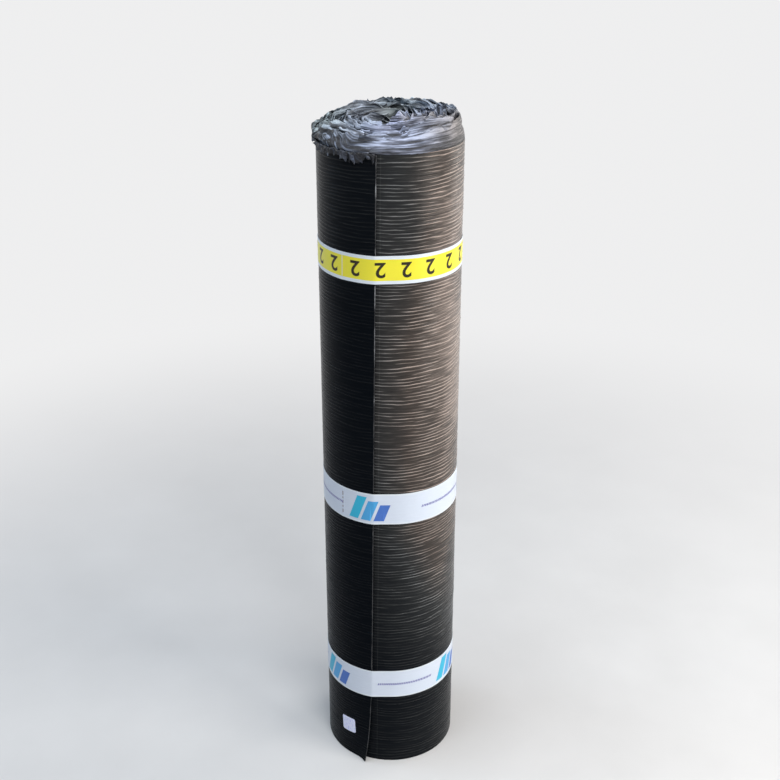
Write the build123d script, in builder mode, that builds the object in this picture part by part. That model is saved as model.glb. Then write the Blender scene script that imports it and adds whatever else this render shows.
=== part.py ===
"""A roll of roofing felt that stands on its end, with three tapes round it and a small label.

All sizes are in millimetres. The roll stands on z = 0 with +Z along its axis, and the outer end of
the sheet, the lap, faces -Y. The wound sheet is one solid. Its spiral is made of half turns about
two centres, each half a sheet thickness from the next, so that every turn runs smoothly into the
one outside it and the lap ends in a step of one thickness.
"""

import math
import os

from build123d import *

# The sheet and how it is wound.
sheet_width = 1000.0
sheet_thickness = 3.8
outer_radius = 101.0
bore_radius = 30.0

# The groove between two turns, on both ends of the roll.
groove_half_width = 0.5
groove_depth = 0.9

# The facing film, which stands above the felt at the top end, turn by turn. It is crumpled, so each
# turn widens towards its edge, differs a little in height from the next, and leans inward.
film_base = 1.3
film_edge = 2.3
film_height = 33.0
film_uneven = 2.5
film_uneven_step = 2.4
film_lean = 5.0

# Where the film is pressed over at the rim: direction from +X round the roll in degrees, height left
# there above the felt, and how steeply the crown rises inward from there in degrees.
pressed_sides = [
    (-90.0, 5.0, 23.0),
    (-45.0, 12.0, 20.0),
    (-165.0, 11.0, 16.0),
    (135.0, 18.0, 14.0),
]

# The film that is folded down over the rim on the lap: how thick it lies and how far it reaches, then
# the angles from the lap's edge to it and from its one end to the other.
fold_thickness = 1.8
fold_drop = 14.0
fold_rise = 1.3
fold_from_lap = 15.0
fold_turn = 60.0

# The tapes, from the top down: width, and height of the middle above the foot.
tape_thickness = 0.4
top_tape_width = 40.0
top_tape_height = 842.0
middle_tape_width = 51.0
middle_tape_height = 472.0
bottom_tape_width = 50.0
bottom_tape_height = 154.0

# The label on the lap, near the foot.
label_width = 28.0
label_height = 33.0
label_thickness = 0.3
label_middle_height = 57.0
label_from_lap = 27.0
label_corner = 3.0

# The two centres of the half turns. These offsets put the middle of the whole roll on the Z axis.
split_x = sheet_thickness / 4
right_centre = Vector(split_x, sheet_thickness / 2, 0)
left_centre = Vector(split_x, 0, 0)
right_radius = outer_radius
left_radius = outer_radius + sheet_thickness / 2

# Turns counted from the outside in. The ones nearest the bore stay plain, so that the bore is round.
turns = int((outer_radius - bore_radius - 1.5 * sheet_thickness) // sheet_thickness)


def film_top(turn):
    """Height and outward lean of the film on one turn. It leans most half way between rim and bore."""
    share = (turn + 0.5) / turns
    height = film_height + film_uneven * math.sin(film_uneven_step * turn)
    return height, -film_lean * math.sin(math.pi * share)


def end_profile(radius):
    """Section of the wound sheet on one side of the bore, as (distance from centre, z) points."""
    inner = radius - turns * sheet_thickness
    foot, head = [], []
    for turn in range(turns):
        outside = radius - turn * sheet_thickness
        inside = outside - sheet_thickness
        height, lean = film_top(turn)
        root = outside - groove_half_width
        foot += [
            (outside, groove_depth),
            (root, 0),
            (inside + groove_half_width, 0),
        ]
        head += [
            (outside, sheet_width - groove_depth),
            (root, sheet_width),
            (root + lean, sheet_width + height),
            (root + lean - film_edge, sheet_width + height),
            (root - film_base, sheet_width),
            (inside + groove_half_width, sheet_width),
        ]
    hollow = bore_radius - 2 * sheet_thickness
    foot += [(inner, groove_depth), (inner - groove_half_width, 0), (hollow, 0)]
    head += [
        (inner, sheet_width - groove_depth),
        (inner - groove_half_width, sheet_width),
        (hollow, sheet_width),
    ]
    return foot + head[::-1]


def pressed_plane(direction, height, steepness):
    """Plane through the rim on one side, above which the film is pressed away."""
    turned, rise = math.radians(direction), math.radians(steepness)
    outward = Vector(math.cos(turned), math.sin(turned), 0)
    return Plane(
        origin=outward * outer_radius + Vector(0, 0, sheet_width + height),
        x_dir=(-outward.Y, outward.X, 0),
        z_dir=outward * math.sin(rise) + Vector(0, 0, math.cos(rise)),
    )


# Each half is revolved through half a turn about its own centre.
right_plane = Plane(origin=right_centre, x_dir=(0, -1, 0), z_dir=(-1, 0, 0))
left_plane = Plane(origin=left_centre, x_dir=(0, 1, 0), z_dir=(1, 0, 0))

# The fold starts inside the outermost turn's film, so that the two are one.
fold_root = groove_half_width + film_base / 2
fold_start = math.radians(-90 - fold_from_lap - fold_turn)
fold_plane = Plane(
    origin=left_centre,
    x_dir=(math.cos(fold_start), math.sin(fold_start), 0),
    z_dir=(math.sin(fold_start), -math.cos(fold_start), 0),
)

with BuildPart() as felt_roll:
    with BuildSketch(right_plane) as right_section:
        with BuildLine():
            Polyline(*end_profile(right_radius), close=True)
        make_face()
    revolve(axis=Axis(right_centre, (0, 0, 1)), revolution_arc=180)
    with BuildSketch(left_plane) as left_section:
        with BuildLine():
            Polyline(*end_profile(left_radius), close=True)
        make_face()
    revolve(axis=Axis(left_centre, (0, 0, 1)), revolution_arc=180)
    with BuildSketch(Plane.XY) as bore_section:
        Circle(bore_radius)
    extrude(amount=sheet_width + film_height + film_uneven, mode=Mode.SUBTRACT)
    for direction, height, steepness in pressed_sides:
        with BuildSketch(pressed_plane(direction, height, steepness)):
            Rectangle(4 * outer_radius, 4 * outer_radius)
        extrude(amount=3 * film_height, mode=Mode.SUBTRACT)
    with BuildSketch(fold_plane) as fold_section:
        with Locations((left_radius + fold_thickness, sheet_width - fold_drop)):
            Rectangle(
                fold_thickness + fold_root,
                fold_drop + fold_rise,
                align=(Align.MAX, Align.MIN),
            )
    revolve(axis=Axis(left_centre, (0, 0, 1)), revolution_arc=fold_turn)
felt_roll.part.label = "felt_roll"


def tape_outline(clearance):
    """Closed line round the roll at one distance from it, drawn tight across the step of the lap."""
    big = right_radius + clearance
    lap = left_radius + clearance
    reach = math.acos(right_radius / (right_radius + sheet_thickness))
    touch = math.radians(-90) + reach
    back = Vector(split_x, right_centre.Y + big)
    left = Vector(split_x - lap, left_centre.Y)
    right = Vector(split_x + big, right_centre.Y)
    down = right_centre + Vector(big * math.cos(touch), big * math.sin(touch))
    middle = (touch + 0.0) / 2
    between = right_centre + Vector(big * math.cos(middle), big * math.sin(middle))
    front = Vector(split_x, left_centre.Y - lap)
    half = Vector(split_x, left_centre.Y) + Vector(-lap, -lap) * math.sqrt(0.5)
    rise = right_centre + Vector(big, big) * math.sqrt(0.5)
    fall = Vector(split_x, left_centre.Y) + Vector(-lap, lap) * math.sqrt(0.5)
    ThreePointArc(down, between, right)
    ThreePointArc(right, rise, back)
    ThreePointArc(back, fall, left)
    ThreePointArc(left, half, front)
    if clearance:
        corner = Vector(split_x, left_centre.Y - left_radius)
        turned = corner + Vector(math.cos(touch), math.sin(touch)) * clearance
        bend = (touch + math.radians(-90)) / 2
        edge = corner + Vector(math.cos(bend), math.sin(bend)) * clearance
        ThreePointArc(front, edge, turned)
        Line(turned, down)
    else:
        Line(front, down)


def tape(width, height):
    """One tape: a closed band of even thickness whose middle is at one height."""
    with BuildPart() as band:
        with BuildSketch(Plane.XY.offset(height - width / 2)):
            with BuildLine():
                tape_outline(tape_thickness)
            make_face()
            with BuildLine():
                tape_outline(0)
            make_face(mode=Mode.SUBTRACT)
        extrude(amount=width)
    return band.part


top_tape = tape(top_tape_width, top_tape_height)
top_tape.label = "top_tape"
middle_tape = tape(middle_tape_width, middle_tape_height)
middle_tape.label = "middle_tape"
bottom_tape = tape(bottom_tape_width, bottom_tape_height)
bottom_tape.label = "bottom_tape"

# The label is bent to the lap's surface, so its width is measured along the curve.
label_turn = math.degrees(label_width / left_radius)
label_start = math.radians(-90 - label_from_lap - label_turn / 2)
label_plane = Plane(
    origin=left_centre,
    x_dir=(math.cos(label_start), math.sin(label_start), 0),
    z_dir=(math.sin(label_start), -math.cos(label_start), 0),
)

with BuildPart() as label:
    with BuildSketch(label_plane) as label_section:
        with Locations((left_radius + label_thickness / 2, label_middle_height)):
            Rectangle(label_thickness, label_height)
    revolve(axis=Axis(left_centre, (0, 0, 1)), revolution_arc=label_turn)
    corners = label.edges().filter_by(
        lambda edge: abs(edge.length - label_thickness) < label_thickness / 100
    )
    fillet(corners, radius=label_corner)
label.part.label = "label"

os.makedirs("parts", exist_ok=True)
export_step(felt_roll.part, "parts/felt_roll.step")
export_step(top_tape, "parts/top_tape.step")
export_step(middle_tape, "parts/middle_tape.step")
export_step(bottom_tape, "parts/bottom_tape.step")
export_step(label.part, "parts/label.step")
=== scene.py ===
"""Looks of the roll of roofing felt: rippled wall, lap, both ends, crumpled film, tapes and label.

Metres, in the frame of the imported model: the roll stands on z = 0 and its lap faces -Y. A place on
the wound sheet is given by its turn. Turn 0 starts the outermost turn, under the lap, turn 1 is the
lap's edge, and turns below 0 lie further in.
"""

import math
from types import SimpleNamespace

import bpy
import bmesh
import numpy as np
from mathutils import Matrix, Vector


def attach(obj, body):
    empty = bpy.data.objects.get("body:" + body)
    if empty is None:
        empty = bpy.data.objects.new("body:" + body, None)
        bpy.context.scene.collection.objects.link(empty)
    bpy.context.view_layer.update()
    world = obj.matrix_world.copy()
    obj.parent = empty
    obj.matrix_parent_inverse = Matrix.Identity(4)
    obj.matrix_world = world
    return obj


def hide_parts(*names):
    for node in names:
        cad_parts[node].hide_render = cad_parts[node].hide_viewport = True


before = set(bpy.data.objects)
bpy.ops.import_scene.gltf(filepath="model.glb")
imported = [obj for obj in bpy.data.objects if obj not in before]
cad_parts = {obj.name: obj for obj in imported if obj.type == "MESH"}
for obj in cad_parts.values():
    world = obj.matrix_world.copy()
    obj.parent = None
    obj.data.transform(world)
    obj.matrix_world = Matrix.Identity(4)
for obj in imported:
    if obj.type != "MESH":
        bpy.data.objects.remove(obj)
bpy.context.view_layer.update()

TAU = 2 * math.pi
TINY = 1e-9

# The winding, as in the solids.
SHEET = 0.0038
RADIUS = 0.101
HEIGHT = 1.0
BORE = 0.030
GROOVE_HALF = 0.0005
GROOVE_DEPTH = 0.0009
ONE_ROUND = TAU * RADIUS
SPLIT_X = SHEET / 4
RIGHT_Y = SHEET / 2

# How far past the lap's edge, in turns, a band drawn tight over its step lands on the turn below.
TOUCH = math.acos(RADIUS / (RADIUS + SHEET)) / TAU

# The lap isn't quite upright: it leans by this angle round the roll over the roll's height.
LAP_LEAN = math.radians(7)

# The photograph's viewpoint: direction from +X, distance, height, height looked at, and lens.
VIEW_TURN = math.radians(-76)
VIEW_DISTANCE = 1.680
VIEW_HEIGHT = 1.395
VIEW_AIM = 0.6187
VIEW_LENS = 57.2

# The tapes: height of the middle, width, and turn where each starts. One that isn't quite level
# rises by its tilt, most at a quarter turn past its tilt turn.
TAPES = {
    "top_tape": {"middle": 0.842, "width": 0.040, "start": 0.9142, "tilt": 0.0, "tilt_turn": 0.2},
    "middle_tape": {"middle": 0.472, "width": 0.051, "start": 0.9133, "tilt": 0.001, "tilt_turn": 0.3},
    "bottom_tape": {"middle": 0.154, "width": 0.050, "start": 0.50, "tilt": 0.0015, "tilt_turn": 0.1},
}

# Multipliers and masks that mix whole numbers into noise.
MIX_X = 374761393
MIX_Y = 668265263
MIX_SEED = 1274126177
WORD = 0xFFFFFFFF
HALF_WORD = 0xFFFF


def lattice(ix, iy, seed):
    """Repeatable values from -1 to 1 for whole-number places."""
    mixed = (ix.astype(np.int64) * MIX_X + iy.astype(np.int64) * MIX_Y + seed * MIX_SEED) & WORD
    mixed = ((mixed ^ (mixed >> 13)) * MIX_SEED) & WORD
    return ((mixed ^ (mixed >> 16)) & HALF_WORD) / (HALF_WORD / 2) - 1


def noise(x, y, seed):
    """Smooth repeatable noise from -1 to 1 over a plane."""
    x, y = same_shape(x, y)
    ix, iy = np.floor(x), np.floor(y)
    fx, fy = x - ix, y - iy
    fx = fx * fx * (3 - 2 * fx)
    fy = fy * fy * (3 - 2 * fy)
    low = lattice(ix, iy, seed) * (1 - fx) + lattice(ix + 1, iy, seed) * fx
    high = lattice(ix, iy + 1, seed) * (1 - fx) + lattice(ix + 1, iy + 1, seed) * fx
    return low * (1 - fy) + high * fy


def patches(x, y, size, seed):
    """Noise with patches of about this size, (along x, along y)."""
    return noise(x / size[0], y / size[1], seed)


def waves(x, table, seed):
    """Sum of noises along a line, each given as (strength, length, step of the seed)."""
    return sum(strength * noise(x / length, 0 * x, seed + step) for strength, length, step in table)


def smooth(x):
    """Eases from 0 to 1 as x goes from 0 to 1."""
    x = np.clip(x, 0, 1)
    return x * x * (3 - 2 * x)


def eased(x, start, span, before, after):
    """Eases from one value to another over a span of x."""
    return before + (after - before) * smooth((x - start) / span)


def same_shape(*values):
    return np.broadcast_arrays(*(np.asarray(value, float) for value in values))


def joined(*parts):
    """Points from their three coordinates."""
    return np.stack(same_shape(*parts), axis=-1)


def turned(x, y, z):
    """Leans the lap: turns each height of the roll a little about its axis."""
    lean = LAP_LEAN * (z / HEIGHT - 0.5)
    cos, sin = np.cos(lean), np.sin(lean)
    return joined(x * cos - y * sin, x * sin + y * cos, z)


def on_half(turn, right, r, z):
    """Points at a radius from the centre of the right or the left half turn."""
    angle = TAU * turn - math.pi / 2
    return turned(SPLIT_X + r * np.cos(angle), np.where(right, RIGHT_Y, 0) + r * np.sin(angle), z)


def place(turn, z, out=0.0):
    """Points on the wound sheet's outer face, or some way out from it."""
    turn, z, out = same_shape(turn, z, out)
    whole = np.floor(turn + TINY)
    right = turn - whole < 0.5 - TINY
    r = RADIUS + (whole + np.where(right, 0, 0.5)) * SHEET
    return on_half(turn, right, np.maximum(r, BORE) + out, z)


def wrap(turn, z, out):
    """Points on a band that is drawn tight round the roll and straight across the step of the lap."""
    turn, z, out = same_shape(turn, z, out)
    part = turn - np.floor(turn)
    right = part < 0.5
    r = np.where(right, RADIUS, RADIUS + SHEET / 2)
    r = np.where(part < TOUCH, RADIUS / np.cos(TAU * (TOUCH - part)), r)
    return on_half(part, right, r + out, z)


def on_sheet(turn, up):
    """Coordinates on the flat sheet, along the winding and up, for a material to read."""
    return joined(turn * ONE_ROUND, up, 0)


def wall_heights(count):
    """Even heights up the wall, from the groove at the foot to the one at the top."""
    return GROOVE_DEPTH + (HEIGHT - 2 * GROOVE_DEPTH) * np.arange(count + 1) / count


def grid_faces(rows, columns):
    """Faces of a grid whose points come row by row."""
    corners = [row * columns + column for row in range(rows - 1) for column in range(columns - 1)]
    return [(corner, corner + columns, corner + columns + 1, corner + 1) for corner in corners]


def closed_rows(rows, flip=False):
    """Faces between closed rows of point numbers, turned to the other side if flipped."""
    faces = []
    for low, high in zip(rows.tolist(), rows[1:].tolist()):
        for k, m in zip(range(len(low)), [*range(1, len(low)), 0]):
            faces.append((low[k], high[k], high[m], low[m]) if flip else (low[k], low[m], high[m], high[k]))
    return faces


def tube_faces(sections, corners, flip=False):
    """Faces of a closed outline that is carried through several places, with both ends shut."""
    rows = np.arange(sections * corners).reshape(sections, corners)
    ends = (rows[0], rows[-1][::-1]) if flip else (rows[0][::-1], rows[-1])
    return closed_rows(rows, flip) + [tuple(end.tolist()) for end in ends]


SHARP_ANGLE = 40


def into_scene(name, data):
    piece = bpy.data.objects.new(name, data)
    bpy.context.scene.collection.objects.link(piece)
    return piece


def set_layer(mesh, name, kind, field, values):
    data = mesh.attributes.new(name, kind, "POINT").data
    data.foreach_set(field, np.ascontiguousarray(values, dtype=np.float32).ravel())


def make(name, points, faces, mat, spread, shade, stands_for=(), tint=None, angle=SHARP_ANGLE):
    """A piece from points and faces. Its material may read where a point lies on its sheet (spread),
    a share from 0 to 1 (shade) and a colour (tint). Edges bent by more than the angle look sharp."""
    mesh = bpy.data.meshes.new(name)
    mesh.from_pydata([tuple(p) for p in np.reshape(points, (-1, 3))], [], faces)
    set_layer(mesh, "spread", "FLOAT_VECTOR", "vector", spread)
    set_layer(mesh, "shade", "FLOAT", "value", shade)
    if tint is not None:
        tint = np.reshape(tint, (-1, 3))
        set_layer(mesh, "tint", "FLOAT_COLOR", "color", np.pad(tint, ((0, 0), (0, 1)), constant_values=1))
    mesh.validate()
    mesh.shade_smooth()
    if angle:
        mesh.set_sharp_from_angle(angle=math.radians(angle))
    mesh.materials.append(mat)
    piece = into_scene(name, mesh)
    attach(piece, "root")
    if stands_for:
        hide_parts(*stands_for)
    return piece


# Shader nodes. The mix node's two colours and its result have no names of their own, only numbers.
MIX_FIRST, MIX_SECOND, MIX_RESULT = 6, 7, 2


def add(tree, kind, inputs=None, **settings):
    """One shader node, with its settings, and with its inputs set or linked."""
    node = tree.nodes.new("ShaderNode" + kind)
    for key, value in settings.items():
        setattr(node, key, value)
    for key, value in (inputs or {}).items():
        if isinstance(value, bpy.types.NodeSocket):
            tree.links.new(value, node.inputs[key])
        else:
            node.inputs[key].default_value = value
    return node


def material(name, **sockets):
    mat = bpy.data.materials.new(name)
    mat.use_nodes = True
    shader = mat.node_tree.nodes["Principled BSDF"]
    for key, value in sockets.items():
        shader.inputs[key.replace("_", " ")].default_value = value
    return mat, mat.node_tree, shader


def link(tree, shader, **sockets):
    for key, value in sockets.items():
        tree.links.new(value, shader.inputs[key.replace("_", " ")])


def ramp(tree, factor, stops):
    """Colours between (position, colour) stops."""
    node = add(tree, "ValToRGB", {"Fac": factor})
    elements = node.color_ramp.elements
    while len(elements) < len(stops):
        elements.new(0.5)
    for element, (position, colour) in zip(elements, stops):
        element.position = position
        element.color = (*colour, 1)
    return node.outputs["Color"]


def mixed(tree, factor, first, second, blend_type="MIX"):
    inputs = {"Factor": factor, MIX_FIRST: first, MIX_SECOND: second}
    return add(tree, "Mix", inputs, data_type="RGBA", blend_type=blend_type).outputs[MIX_RESULT]


def maths(tree, operation, a, b=0.0, c=0.0):
    return add(tree, "Math", {0: a, 1: b, 2: c}, operation=operation).outputs[0]


def times(tree, a, b):
    return maths(tree, "MULTIPLY", a, b)


def scaled(tree, value, factor, plus):
    return maths(tree, "MULTIPLY_ADD", value, factor, plus)


def fade_between(tree, value, low, high):
    """0 where a value is low and 1 where it is high."""
    inputs = {"Value": value, "From Min": low, "From Max": high}
    return add(tree, "MapRange", inputs).outputs[0]


def attribute(tree, name, output):
    return add(tree, "Attribute", attribute_name=name).outputs[output]


def sheet_axes(tree):
    """The sheet's own X, along the winding, and Y, up."""
    parts = add(tree, "SeparateXYZ", {0: attribute(tree, "spread", "Vector")}).outputs
    return parts["X"], parts["Y"]


def share(tree):
    return attribute(tree, "shade", "Fac")


def stretched(tree, along, across, detail, roughness=0.55, offset=0.0):
    """Noise on the sheet's own coordinates, with a scale along the winding and one across it."""
    scales, shift = (along, across, 1), (offset, offset, offset)
    where = attribute(tree, "spread", "Vector")
    larger = add(tree, "VectorMath", {0: where, 1: scales}, operation="MULTIPLY")
    moved = add(tree, "VectorMath", {0: larger.outputs[0], 1: shift}, operation="ADD")
    inputs = {"Vector": moved.outputs[0], "Scale": 1.0, "Detail": detail, "Roughness": roughness}
    return add(tree, "TexNoise", inputs).outputs[0]


def bump(tree, shader, height, distance, strength, below=None):
    inputs = {"Height": height, "Distance": distance, "Strength": strength}
    if below:
        inputs["Normal"] = below
    normal = add(tree, "Bump", inputs).outputs["Normal"]
    link(tree, shader, Normal=normal)
    return normal


# The wall's film. Sizes of noise are (along the winding, up), and spans are in turns or in height.
RIPPLE_PITCH = 0.0056
RIPPLE_HEIGHT = 0.0005
RIPPLE_SHARPNESS = 5
RIPPLE_BEND = (0.16, 0.06)
RIPPLE_WAVER = (0.040, 0.014)
RIPPLE_BREAKS = (0.11, 0.0070)
SWELLS = (0.09, 0.035)
HELD_MARGIN = 0.003
HELD_FADE = 0.006

# Changes by turn or by height, as (start, span, value before, value after).
CALMER = (0.6, 0.15, 1, 0.5)
TIGHT = (0.86, 0.06, 1, 0.25)
RIPPLES_BY_HEIGHT = (0.1, 0.4, 0.6, 1)
# Towards the foot the film is less pale: painted shade. Near the top it is a little less pale again.
PAINTED_SHADE_AT_FOOT = (0.10, 0.52, 0.16, 1)
HAZE_AT_TOP = (0.7, 0.2, 1, 0.88)

# How pale the film looks by turn, from the lap's start round to its edge: partly the loose film's own
# milkiness against the tight lap, partly a painted sheen that is brightest to the right of the lap.
HAZE_TURNS = (-0.08, 0.0, 0.06, 0.12, 0.19, 0.60, 0.74, 0.82, 1.0)
HAZE_AND_SHEEN_SHARES = (0, 0.32, 0.42, 0.60, 0.78, 0.78, 0.10, 0.03, 0.02)
HAZE_PATCHES = (0.05, 0.09)

# The lap's loose edge, and its corner near the foot, which flares out and draws back.
LOOSE_FROM = 0.95
EDGE_GAP = 0.0003
CORNER_FLARE = 0.0085
CORNER_FLARE_HEIGHT = 0.045
CORNER_RECEDE_TURNS = 0.0130
CORNER_RECEDE_HEIGHT = 0.065

# The hollow's dents: an oval one, a three-sided one, and how far they reach into the turns.
DENT_OVAL = 0.0032
DENT_THREE = 0.0012
DENT_REACH = 0.012


def loose(turn):
    """How strongly the film ripples: little on the lap's last stretch, where it lies tight."""
    return eased(turn, *CALMER) * eased(turn, *TIGHT)


def under_tape(z):
    """1 where a tape holds the film down, 0 elsewhere."""
    held = np.zeros_like(z)
    for tape in TAPES.values():
        reach = tape["width"] / 2 + HELD_MARGIN
        held = np.maximum(held, smooth((reach - np.abs(z - tape["middle"])) / HELD_FADE + 0.5))
    return held


def crests(turn, z):
    """The film's wavy, broken cross ripples, from 0 to about 1 on a crest."""
    along = turn * ONE_ROUND
    bend = patches(along, z, RIPPLE_BEND, 1) + 0.16 * patches(along, z, RIPPLE_WAVER, 2)
    crest = (0.5 + 0.5 * np.cos(TAU * (z / RIPPLE_PITCH + bend))) ** RIPPLE_SHARPNESS
    return crest * np.clip(0.50 + 0.95 * patches(along, z, RIPPLE_BREAKS, 3), 0.03, 1.2)


def ripple(turn, z):
    """Height of the ripples and of the slower swells under them."""
    swell = 0.5 * patches(turn * ONE_ROUND, z, SWELLS, 4)
    high = crests(turn, z) * eased(z, *RIPPLES_BY_HEIGHT)
    return (high + swell - 0.35) * loose(turn) * (1 - 0.85 * under_tape(z))


def haze_and_sheen(turn, z):
    """How pale the film looks: most away from the lap and up the roll, least on the tight lap.
    Partly its own milkiness, partly a painted sheen by side and painted shade towards the foot.
    """
    side = np.interp(turn, HAZE_TURNS, HAZE_AND_SHEEN_SHARES)
    side = side + 0.035 * smooth((turn - 0.8) / 0.05) * smooth((z - 0.78) / 0.15)
    height = eased(z, *PAINTED_SHADE_AT_FOOT) * eased(z, *HAZE_AT_TOP)
    return side * height * (0.92 + 0.16 * patches(turn * ONE_ROUND, z, HAZE_PATCHES, 15))


def looseness(turn, z):
    """0 on the lap until near its edge, then rising to 1 at the edge, away from the tapes."""
    edge = np.clip((turn - LOOSE_FROM) / (1 - LOOSE_FROM), 0, 1)
    return edge**2 * (1 - under_tape(z))


def flare(turn, z):
    """How far the lap's edge stands off the turn below it: most at the corner near the foot."""
    return looseness(turn, z) * (CORNER_FLARE * np.exp(-z / CORNER_FLARE_HEIGHT) + EDGE_GAP)


def recede(turn, z):
    """How far the loose corner draws back along the winding, in turns."""
    return looseness(turn, z) * CORNER_RECEDE_TURNS * np.exp(-z / CORNER_RECEDE_HEIGHT)


def crush(points):
    """Presses the hollow out of round, with the turns next to it."""
    radius = np.hypot(points[..., 0], points[..., 1])
    angle = np.arctan2(points[..., 1], points[..., 0])
    dent = DENT_OVAL * np.cos(2 * (angle - 0.5)) + DENT_THREE * np.cos(3 * angle + 1.0)
    moved = 1 + dent * np.exp(-np.maximum(radius - BORE, 0) / DENT_REACH) / radius
    return points * joined(moved, moved, 1)


# The sheet's body: wall, lap, both ends and the hollow, as one closed mesh.
COLUMNS = 60
UNDER_COLUMNS = 5
WALL_ROWS = 1250
HOLLOW_ROWS = 10
FIRST_TURN = -17.5
FIRST_TURN_GROWS = 0.8
END_UNEVEN = 0.0006
END_WAVES = 9
END_FLAT_FROM, END_FLAT_TO = 0.001, 0.003


class Surface:
    """Points and faces of one piece, put together part by part."""

    def __init__(self):
        self.points, self.spread, self.shade, self.faces = [], [], [], []

    def put(self, points, spread, shade):
        """Adds points, and gives back their numbers in the shape in which the points came."""
        first = sum(len(group) for group in self.points)
        flat = points.reshape(-1, 3)
        self.points.append(flat)
        self.spread.append(spread.reshape(-1, 3))
        self.shade.append(np.broadcast_to(np.ravel(shade), len(flat)))
        return (first + np.arange(len(flat))).reshape(points.shape[:-1])

    def face(self, *corners):
        """Adds a face, without the corners that repeat the one before."""
        kept = [corner for i, corner in enumerate(corners) if corner != corners[i - 1]]
        if len(kept) > 2:
            self.faces.append(tuple(int(corner) for corner in kept))


def add_wall(body):
    """The wall and the lap from outside, then the lap's underside. Gives point numbers row by row."""
    outside = np.arange(-UNDER_COLUMNS, COLUMNS + 1) / COLUMNS
    underside = 1 - np.arange(UNDER_COLUMNS) / COLUMNS
    z, turn = np.meshgrid(wall_heights(WALL_ROWS), np.concatenate([outside, underside]), indexing="ij")
    is_under = np.arange(turn.shape[1]) >= len(outside)
    out = flare(turn, z) + np.where(is_under, 0, RIPPLE_HEIGHT * ripple(turn, z))
    points = place(turn - is_under - recede(turn, z), z, out)
    # The shade attribute here holds the film's paleness, with its painted sheen and painted shade.
    wall = body.put(points, on_sheet(turn, z), np.where(is_under, 0, haze_and_sheen(turn, z)))
    body.faces += closed_rows(wall)
    return wall


def hollow_ring(angle, z):
    return crush(turned(BORE * np.cos(angle), BORE * np.sin(angle), z))


def add_hollow(body):
    """The hollow's wall. Gives point numbers row by row."""
    angles = TAU * (FIRST_TURN + np.arange(COLUMNS) / COLUMNS) - math.pi / 2
    z, angle = np.meshgrid(wall_heights(HOLLOW_ROWS), angles, indexing="ij")
    hollow = body.put(hollow_ring(angle, z), joined(angle * BORE, z, 0), 0.0)
    # Taken from the top down, the faces look inwards.
    body.faces += closed_rows(hollow[::-1])
    return hollow


def add_end(body, wall_row, hollow_row, z_groove, z_flat, at_top):
    """One end of the roll: a flat strip along the whole winding, between its grooves."""
    total = round(COLUMNS * (1 - FIRST_TURN))
    turn = FIRST_TURN + np.arange(total + 1) / COLUMNS
    start = hollow_ring(TAU * turn - math.pi / 2, z_groove)
    grow = smooth((turn - FIRST_TURN) / FIRST_TURN_GROWS)[:, None]
    groove = start * (1 - grow) + crush(place(turn, z_groove)) * grow

    # The groove outside each turn is the one inside the next turn out, and the last is the wall's.
    outside_columns = COLUMNS + UNDER_COLUMNS + 1
    free = slice(1, total + 1 - outside_columns)
    free_numbers = body.put(groove[free], on_sheet(turn[free], 0), 0.0)
    outer = np.concatenate([hollow_row[:1], free_numbers, wall_row[:outside_columns]])
    shared = outer[: total + 1 - COLUMNS - UNDER_COLUMNS]
    inner = np.concatenate([hollow_row, shared, wall_row[outside_columns:][::-1]])

    every = np.concatenate(body.points)
    first, last = every[inner], every[outer]
    wide = np.linalg.norm((last - first)[:, :2], axis=1)
    inset = (np.minimum(GROOVE_HALF, 0.3 * wide) / np.maximum(wide, TINY))[:, None]
    near_edge, far_edge = first + (last - first) * inset, last - (last - first) * inset
    sunk = np.abs(END_UNEVEN * noise(turn * END_WAVES, 0 * turn, 7)) if at_top else 0.0
    near_edge[:, 2] = far_edge[:, 2] = z_flat - sunk
    one = body.put(near_edge, on_sheet(turn, END_FLAT_FROM), 0.0)
    two = body.put(far_edge, on_sheet(turn, END_FLAT_TO), 0.0)
    one[0] = two[0]
    for j in range(total):
        for near_line, far_line in ((inner, one), (one, two), (two, outer)):
            corners = (near_line[j], near_line[j + 1], far_line[j + 1], far_line[j])
            body.face(*(corners[::-1] if at_top else corners))


def felt_sheet(mat):
    body = Surface()
    wall = add_wall(body)
    hollow = add_hollow(body)
    add_end(body, wall[-1], hollow[-1], HEIGHT - GROOVE_DEPTH, HEIGHT, at_top=True)
    add_end(body, wall[0], hollow[0], GROOVE_DEPTH, 0.0, at_top=False)
    points, spread, shade = (np.concatenate(group) for group in (body.points, body.spread, body.shade))
    make("felt_sheet", points, body.faces, mat, spread, shade, ("felt_roll",))


# The felt's fine lines and the pale line past the lap's edge. Grains are a noise's scale along the
# sheet, its scale across it, detail, roughness and offset.
LINE_PITCH = 0.0051
LINE_BEND = (6, 14, 1, 0.5, 11)
LINE_WAVER = (32, 70, 1, 0.5, 12)
LINE_BREAKS = (15, 150, 2, 0.6, 13)
MARGIN_FROM_LAP = 0.0050
MARGIN_SPREAD = 0.0030
MARGIN_WAVER = 0.0016
MARGIN_HALF_WIDTH = 0.0009
MARGIN_BEND = (1, 9, 1, 0.5, 21)
MARGIN_BREAKS = (20, 120, 2, 0.6, 22)
FELT_STREAKS = (30, 420, 3, 0.6, 5)
FELT_SCRATCHES = (45, 620, 3, 0.6, 2)
FELT_TONES = [(0.0, (0.0035, 0.0042, 0.0058)), (0.3, (0.047, 0.041, 0.038)), (1.0, (0.38, 0.33, 0.31))]
# A painted reflection tint: cool where the film is dark, warm where it is pale.
FELT_REFLECTION_CAST = [(0.28, (0.84, 1.0, 1.07)), (0.44, (1.08, 1.0, 0.92))]
FELT_GLOSS = [(0.0, (0.08, 0.11, 0.17)), (0.35, (0.8, 0.8, 0.8)), (0.8, (1, 1, 1))]


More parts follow.
